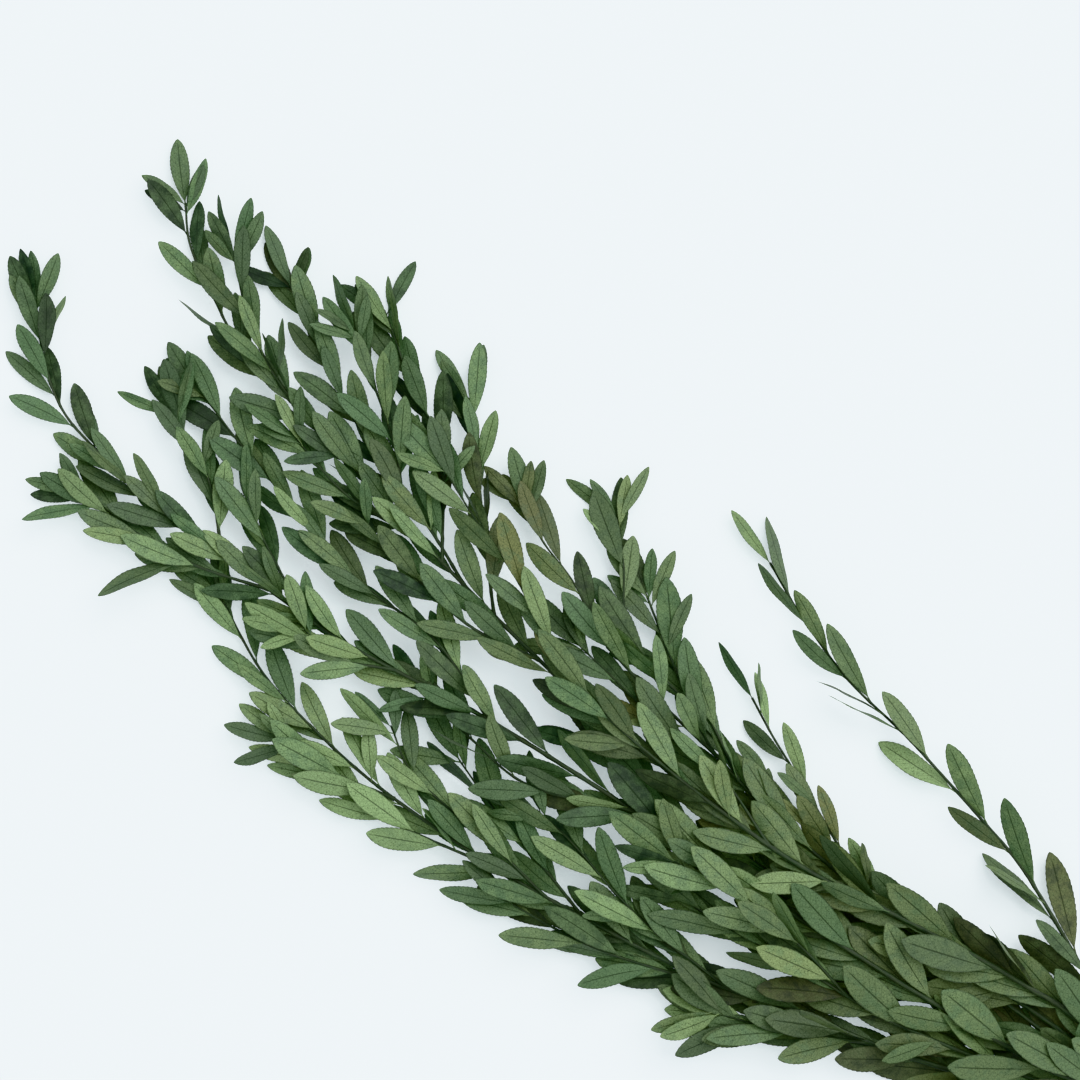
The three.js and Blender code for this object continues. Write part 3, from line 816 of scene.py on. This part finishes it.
leaf_tree, leaf_keys, given = new_tree(
    "Leaves on their stalks",
    [("Roots", "Geometry"), ("Leaf", "Object"), ("Half Thickness", "Float"), ("Waves", "Float"),
     ("Wave Height", "Float"), ("Table", "Float"), ("Skin", "Material")], "Leaves")
tree = leaf_tree
shape = add_node(tree, "GeometryNodeObjectInfo", {"Object": given["Leaf"]}).outputs["Geometry"]
copies = add_node(tree, "GeometryNodeInstanceOnPoints", {0: given["Roots"], "Instance": shape}).outputs[0]
copies = add_node(tree, "GeometryNodeRealizeInstances", {0: copies}).outputs[0]
corner = named(tree, "blade", "FLOAT_VECTOR")
share, edge, depth = add_node(tree, "ShaderNodeSeparateXYZ", {0: corner}).outputs
length = named(tree, "length")
turn = times(tree, named(tree, "twist"), share)
width = times(tree, edge, named(tree, "half_width"))
rise = times(tree, depth, given["Half Thickness"])
reach = times(tree, times(tree, share, share), length)
rise = minus(tree, rise, times(tree, reach, named(tree, "bend")))
rise = plus(tree, rise, times(tree, width, calc(tree, "SINE", turn)))
fold = times(tree, calc(tree, "ABSOLUTE", width), named(tree, "fold"))
rise = plus(tree, rise, fold)
wave = times(tree, share, given["Waves"])
wave = calc(tree, "SINE", plus(tree, wave, named(tree, "phase")))
wave_height = times(tree, times(tree, edge, edge), given["Wave Height"])
rise = plus(tree, rise, times(tree, wave, wave_height))
curve = times(tree, reach, named(tree, "curve"))
aside = plus(tree, times(tree, width, calc(tree, "COSINE", turn)), curve)
along = times(tree, share, length)
local = add_node(tree, "ShaderNodeCombineXYZ", {0: along, 1: aside, 2: rise}).outputs[0]
pose = named(tree, "turn", "QUATERNION")
turned = add_node(tree, "FunctionNodeRotateVector", {0: local, 1: pose}).outputs[0]
root = named(tree, "root", "FLOAT_VECTOR")
stood = add_node(tree, "ShaderNodeVectorMath", {0: turned, 1: root}).outputs[0]
x, y, z = add_node(tree, "ShaderNodeSeparateXYZ", {0: stood}).outputs
floor_z = plus(tree, given["Table"], times(tree, depth, given["Half Thickness"]))
above_floor = calc(tree, "MAXIMUM", z, floor_z)
stood = add_node(tree, "ShaderNodeCombineXYZ", {0: x, 1: y, 2: above_floor}).outputs[0]
copies = add_node(tree, "GeometryNodeSetPosition", {0: copies, "Position": stood}).outputs[0]
end_tree(tree, copies, given["Skin"])


# The leaf's skin: greens from dark to bright, which are partly each leaf's own tone and partly painted light
# and shade, some leaves olive or greyish, blotches and specks, a dark midrib, faint side veins and a net
# between them, and a darker rim. The underside is paler and duller.
skin, tree, shader = new_material("Dyed leaf", Specular_IOR_Level=0.25)
blotches, specks, pores = add_grain(tree, 170, 850)
uv_place = add_node(tree, "ShaderNodeUVMap", uv_map="UVMap").outputs[0]
share, across, _ = add_node(tree, "ShaderNodeSeparateXYZ", {0: uv_place}).outputs
signed = minus(tree, times(tree, across, 2.0), 1.0)
edge = calc(tree, "ABSOLUTE", signed)
below = read(tree, "underside")
blotched = times(tree, minus(tree, blotches, 0.5), 0.2)
# How light each leaf is drawn: its own tone, with painted light and shade from its height and its place in
# the bunch.
light = plus(tree, read(tree, "leaf_light"), blotched)
colour = mix(tree, ease(tree, light, 0.0, 0.5), srgb(35, 48, 39), srgb(92, 117, 86))
colour = mix(tree, ease(tree, light, 0.5, 1.0), colour, srgb(134, 160, 113))
olive = times(tree, read(tree, "leaf_olive"), ease(tree, blotches, 0.0, 0.6, 0.5, 1.0))
colour = mix(tree, olive, colour, srgb(120, 116, 74))
colour = mix(tree, times(tree, read(tree, "leaf_grey"), 0.5), colour, srgb(76, 84, 70))
colour = mix(tree, times(tree, below, 0.35), colour, srgb(106, 118, 98))
midrib = times(tree, ease(tree, edge, 0.025, 0.075, 1.0, 0.0), ease(tree, share, 0.86, 0.97, 1.0, 0.0))
# The side veins lean forward, and those of one side spring half way between those of the other.
VEINS_A_SIDE = 12.0
VEIN_LEAN = 0.16
bent = minus(tree, share, times(tree, edge, VEIN_LEAN))
bent = plus(tree, bent, times(tree, pores, 0.03))
half_step = times(tree, calc(tree, "GREATER_THAN", signed, 0.0), 0.5)
rung = plus(tree, times(tree, bent, VEINS_A_SIDE), half_step)
rung = calc(tree, "ABSOLUTE", minus(tree, calc(tree, "FRACT", rung), 0.5))
side_veins = times(tree, ease(tree, rung, 0.03, 0.1, 1.0, 0.0), ease(tree, edge, 0.7, 0.95, 1.0, 0.0))
object_place = tree.nodes.new("ShaderNodeTexCoord").outputs["Object"]
net = add_node(tree, "ShaderNodeTexVoronoi", {"Vector": object_place, "Scale": 800.0},
               feature="DISTANCE_TO_EDGE").outputs[0]
net = ease(tree, net, 0.0, 0.12, 1.0, 0.0)
veins = calc(tree, "MAXIMUM", times(tree, side_veins, 0.30), times(tree, net, 0.34))
colour = mix(tree, veins, colour, srgb(34, 46, 30))
colour = mix(tree, times(tree, specks, 0.6), colour, srgb(38, 52, 36))
colour = mix(tree, times(tree, midrib, 0.65), colour, srgb(30, 40, 25))
colour = mix(tree, ease(tree, edge, 0.86, 1.0, 0.0, 0.5), colour, srgb(28, 36, 23))
tree.links.new(colour, shader.inputs["Base Color"])
tree.links.new(ease(tree, blotches, 0.0, 1.0, 0.5, 0.66), shader.inputs["Roughness"])
grooves = plus(tree, times(tree, veins, 1.2), midrib)
add_relief(tree, shader, minus(tree, times(tree, pores, 0.4), grooves), 0.5, 0.00025)

# Spots where leaves are more olive, or painted lighter and darker: place along and across the bunch, reach,
# and how much a leaf in the middle changes. The olive spots are the leaves' own colour. The lighter and
# darker spots are partly the leaves' own tone and partly painted light and shade: lighter where leaves lie
# open at the edges of the bunch, darker where they lie in shade in its middle.
OLIVE_SPOTS = [(190, 40, 110, 0.28), (483, -6, 22, 0.9), (390, 28, 12, 0.6), (443, 35, 12, 0.6),
               (284, 12, 16, 0.6), (322, 30, 14, 0.5)]
TONE_AND_SHADE_SPOTS = [(470, 150, 45, 0.65), (650, 95, 50, 0.1), (720, 62, 35, 0.1), (555, 115, 50, 0.18),
               (300, -55, 60, 0.4), (450, -32, 35, 0.2), (374, -12, 30, 0.15), (549, 29, 45, -0.12),
               (425, 50, 45, -0.08), (228, 50, 60, -0.08), (160, 20, 60, -0.06), (424, 108, 28, -0.1)]
LIGHT, LIGHT_SPREAD, DARKEST = 0.5, 0.18, 0.1
# Painted shade by height: a leaf that lies lower in the bunch than the middle height, in millimetres, is
# painted darker by so much a millimetre, and one that lies higher is painted lighter, as shade falls under
# the upper leaves.
HEIGHT_SHADE_RISE, HEIGHT_SHADE_MIDDLE = 0.008, 18
OLIVE_SPREAD, MOST_OLIVE = 0.1, 0.95
SPOT_SHARE = (0.4, 1)
GREY_POWER = 3

# The fine leaves are a little longer than the solids near the tips, and narrower. Those of the short twig
# to the right of the bunch are smaller, and those of the long stem beyond it are turned more.
LONGER_X, LONGER = [560, 660], [1, 1.09]
SHORTENED = {"leafy_stem_4": 0.82}
NARROWER_X, NARROWER = [200, 330, 480, 660], [1.0, 0.88, 0.82, 0.86]
BARE_NARROWER = 0.8
WIDTH_SHARE = (0.9, 1.1)
TURN_SPREAD = 0.3
TURN_SPREADS = {"leafy_stem_1": 0.6}
TWIST_SPREAD = 0.12
CURVE_SPREAD = 0.05
FOLD = (-0.05, 0.2)
PHASE = (0, 6.3)
HALF_THICKNESS = 0.2
TABLE_GAP = 0.25
WAVES = 9
WAVE_HEIGHT = 0.5


def spot_change(place, spots):
    return sum(change * math.exp(-((place[0] - x) ** 2 + (place[1] - y) ** 2) / reach ** 2)
               for x, y, reach, change in spots)


draws = np.random.RandomState(5)
for node, *_ in STEMS:
    roots, turns, rows = [], [], []
    for branch in branches_of(node):
        for leaf in branch["leaves"] + branch["fillers"]:
            if leaf["pose"] is None:
                continue
            axes, offset = leaf_axes(leaf, leaf["pose"])
            fine_root = point_at(branch["smooth"], smooth_distance(branch, leaf["at"]))
            root = leaf["root"] + offset + fine_root - point_at(branch["coarse"], leaf["at"])
            length = leaf["length"] * np.interp(leaf["root"][0], LONGER_X, LONGER) * SHORTENED.get(node, 1)
            middle = root + axes[:, 0] * length / 2
            # Each leaf's own tone at random, and painted shade: darker the lower the middle of the leaf
            # lies.
            light = draws.normal(LIGHT, LIGHT_SPREAD) + HEIGHT_SHADE_RISE * (middle[2] - HEIGHT_SHADE_MIDDLE)
            olive = abs(draws.normal(0, OLIVE_SPREAD))
            olive += spot_change(middle, OLIVE_SPOTS) * draws.uniform(*SPOT_SHARE)
            roots.append((root + shift) * MM)
            turned = draws.normal(0, TURN_SPREADS.get(node, TURN_SPREAD))
            turns.append(Matrix(axes.tolist()).to_quaternion() @ Quaternion((1, 0, 0), turned))
            half = leaf["slimness"] * length * np.interp(middle[0], NARROWER_X, NARROWER)
            half *= draws.uniform(*WIDTH_SHARE) * (BARE_NARROWER if node in BARE_STEMS else 1)
            rows.append({
                "length": length * MM,
                "half_width": half * MM,
                "bend": leaf["bend"],
                "twist": leaf["twist"] + draws.normal(0, TWIST_SPREAD),
                "fold": draws.uniform(*FOLD),
                "curve": draws.normal(0, CURVE_SPREAD),
                "phase": draws.uniform(*PHASE),
                # The spots add painted light and shade, as well as tone, to each leaf.
                "leaf_light": np.clip(light + spot_change(middle, TONE_AND_SHADE_SPOTS), DARKEST, 1),
                "leaf_olive": min(olive, MOST_OLIVE),
                "leaf_grey": draws.uniform() ** GREY_POWER})
    roots_mesh = bpy.data.meshes.new(node + "_roots")
    roots_mesh.from_pydata(roots, [], [])
    add_values(roots_mesh, "root", roots, "FLOAT_VECTOR")
    add_values(roots_mesh, "turn", turns, "QUATERNION")
    for label in rows[0]:
        add_values(roots_mesh, label, [row[label] for row in rows])
    leaves = grow(node + "_leaves", roots_mesh, leaf_tree,
                  {leaf_keys["Leaf"]: blank, leaf_keys["Half Thickness"]: HALF_THICKNESS * MM,
                   leaf_keys["Waves"]: float(WAVES), leaf_keys["Wave Height"]: WAVE_HEIGHT * MM,
                   leaf_keys["Table"]: TABLE_GAP * MM, leaf_keys["Skin"]: skin})
    for label in ("root", "turn", "blade", *rows[0]):
        if not label.startswith("leaf_"):
            leaves.data.attributes.remove(leaves.data.attributes[label])
    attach(leaves, "root")
    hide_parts(node)
bpy.data.objects.remove(blank)


# The rubber band. One loop of natural rubber, wound four times round the stems near their cut ends: it lies
# side by side with itself and crosses back over its own turns on top of the bunch. It holds by its pull.
STRAND_WIDTH = 1.65
STRAND_THICKNESS = 1.35
STRAND_PITCH = 1.7
STRAND_ROUNDING = 0.28
STRAND_GAP = 0.1
STRAND_SHARP = math.radians(50)
WINDING, CROSSING = 3.58, 0.42
CROSSING_RISE = 0.85
CROSSING_SLOPE = 0.6
PLACES_A_TURN = 64
BAND_WIDTH = 8


def bundle_reach(angle):
    """How far the bundle of stems reaches in one direction from its middle."""
    half_step = math.pi / STEMS_ROUND
    flat = STEM_CIRCLE * math.cos(half_step) + BUTT_RADIUS
    return min(flat / math.cos(angle % (2 * half_step) - half_step), STEM_CIRCLE + BUTT_RADIUS)


band_middle = shift + (BAND_START + BAND_WIDTH / 2, BAND_Y, band_height)
first_angle = math.pi / 2 + CROSSING * math.pi
strand, outwards = [], []
for i in range(round((WINDING + CROSSING) * PLACES_A_TURN)):
    turns = i / PLACES_A_TURN
    back = max(0, (turns - WINDING) / CROSSING)
    along = min(turns / WINDING, 1) - back * back * (3 - 2 * back)
    angle = first_angle + turns * 2 * math.pi
    reach = bundle_reach(angle) + STRAND_GAP + STRAND_THICKNESS / 2
    reach += STRAND_THICKNESS * CROSSING_RISE * math.sin(math.pi * back) ** CROSSING_SLOPE
    out = np.array([0, math.cos(angle), math.sin(angle)])
    strand.append((band_middle + reach * out + ((along - 0.5) * WINDING * STRAND_PITCH, 0, 0)) * MM)
    outwards.append(out)
strand_mesh = bpy.data.meshes.new("band_path")
strand_mesh.from_pydata(strand, [(i, (i + 1) % len(strand)) for i in range(len(strand))], [])
add_values(strand_mesh, "outward", outwards, "FLOAT_VECTOR")

band_tree, band_keys, given = new_tree(
    "A wound strand",
    [("Path", "Geometry"), ("Width", "Float"), ("Thickness", "Float"), ("Rounding", "Float"),
     ("Rubber", "Material")], "Band")
tree = band_tree
line = add_node(tree, "GeometryNodeMeshToCurve", {0: given["Path"]}).outputs[0]
outward = named(tree, "outward", "FLOAT_VECTOR")
line = add_node(tree, "GeometryNodeSetCurveNormal", {0: line, "Normal": outward}, mode="FREE").outputs[0]
section = add_node(tree, "GeometryNodeCurvePrimitiveQuadrilateral",
                   {"Width": given["Thickness"], "Height": given["Width"]}).outputs[0]
section = add_node(tree, "GeometryNodeFilletCurve",
                   {0: section, "Count": 2, "Radius": given["Rounding"]}, mode="POLY").outputs[0]
loop = add_node(tree, "GeometryNodeCurveToMesh", {0: line, 1: section}).outputs[0]
loop = add_node(tree, "GeometryNodeSetShadeSmooth", {0: loop}).outputs[0]
end_tree(tree, loop, given["Rubber"])

rubber, tree, shader = new_material("Natural rubber", Specular_IOR_Level=0.35, Sheen_Weight=0.15)
blotches, specks, pores = add_grain(tree, 300, 2200)
colour = mix(tree, blotches, srgb(176, 142, 98), srgb(198, 166, 120))
colour = mix(tree, times(tree, specks, 0.3), colour, srgb(148, 112, 74))
tree.links.new(colour, shader.inputs["Base Color"])
tree.links.new(ease(tree, blotches, 0.0, 1.0, 0.6, 0.75), shader.inputs["Roughness"])
add_relief(tree, shader, pores, 0.3, 0.0002)
band = grow("wound_rubber_band", strand_mesh, band_tree,
            {band_keys["Width"]: STRAND_WIDTH * MM, band_keys["Thickness"]: STRAND_THICKNESS * MM,
             band_keys["Rounding"]: STRAND_ROUNDING * MM, band_keys["Rubber"]: rubber})
band.data.set_sharp_from_angle(angle=STRAND_SHARP)
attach(band, "root")
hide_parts("rubber_band")


# The table. A plain sheet of pale, matt paper, far larger than the picture, that the bunch lies on. It is
# there for the picture only. It glows a little, pale blue: painted light, which brightens the shadows on it
# and lights the leaves from below.
TABLE_REACH = 4
corners = [(-TABLE_REACH, -TABLE_REACH, 0), (TABLE_REACH, -TABLE_REACH, 0),
           (TABLE_REACH, TABLE_REACH, 0), (-TABLE_REACH, TABLE_REACH, 0)]
table_mesh = bpy.data.meshes.new("table_top")
table_mesh.from_pydata(corners, [], [(0, 1, 2, 3)])
table = add_object("table_top", table_mesh)
paper, tree, shader = new_material("Pale table", Roughness=0.85, Specular_IOR_Level=0.2)
# The glow is painted light: a pale blue fill that lifts the shadows between the leaves and lights them from
# below.
shader.inputs["Emission Strength"].default_value = 0.43
shader.inputs["Emission Color"].default_value = (0.84, 0.96, 1.0, 1)
shader.inputs["Base Color"].default_value = srgb(214, 215, 216)
table_mesh.materials.append(paper)
table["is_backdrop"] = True

# Soft light from the right and above, and from the pale room all round. The picture keeps its colours as
# they are, and only its brightest tones are held back.
bpy.context.scene.view_settings.view_transform = "Khronos PBR Neutral"
world = bpy.data.worlds.new("Pale room")
bpy.context.scene.world = world
world.use_nodes = True
world.node_tree.nodes["Background"].inputs["Color"].default_value = (0.955, 0.98, 1.0, 1)
world.node_tree.nodes["Background"].inputs["Strength"].default_value = 0.95
window = bpy.data.lights.new("Window", "SUN")
window.angle = math.radians(50)
window.energy = 1.9
window_object = add_object("Window", window)
window_object.location = (-0.1, -1.2, 1.9)
window_object.rotation_euler = (-window_object.location).to_track_quat("-Z", "Y").to_euler()

# The camera looks straight down, turned so that the tips point up and to the left.
PIXEL = 0.48
PHOTO_SIDE = 1080
CUT_END_PIXEL = (1290, 1190)
VIEW_TURN = math.radians(40)
CAMERA_HEIGHT = 2300
forward, sideways = math.cos(VIEW_TURN), math.sin(VIEW_TURN)
to_right = (CUT_END_PIXEL[0] - PHOTO_SIDE / 2) * PIXEL
to_bottom = (CUT_END_PIXEL[1] - PHOTO_SIDE / 2) * PIXEL
middle_x = forward * to_right + sideways * to_bottom
middle_y = sideways * to_right - forward * to_bottom
camera_data = bpy.data.cameras.new("Camera")
camera_data.lens = camera_data.sensor_width * CAMERA_HEIGHT / (PHOTO_SIDE * PIXEL)
camera_data.clip_start, camera_data.clip_end = 0.1, 20
camera = add_object("Camera", camera_data)
turn = Matrix(((-forward, sideways, 0), (-sideways, -forward, 0), (0, 0, 1)))
camera_place = (shift + (middle_x, middle_y, CAMERA_HEIGHT)) * MM
camera.matrix_world = Matrix.Translation(Vector(camera_place)) @ turn.to_4x4()
bpy.context.scene.camera = camera

size = {"cad": [list(corner) for corner in cad_box], "visual": [list(corner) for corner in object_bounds()]}
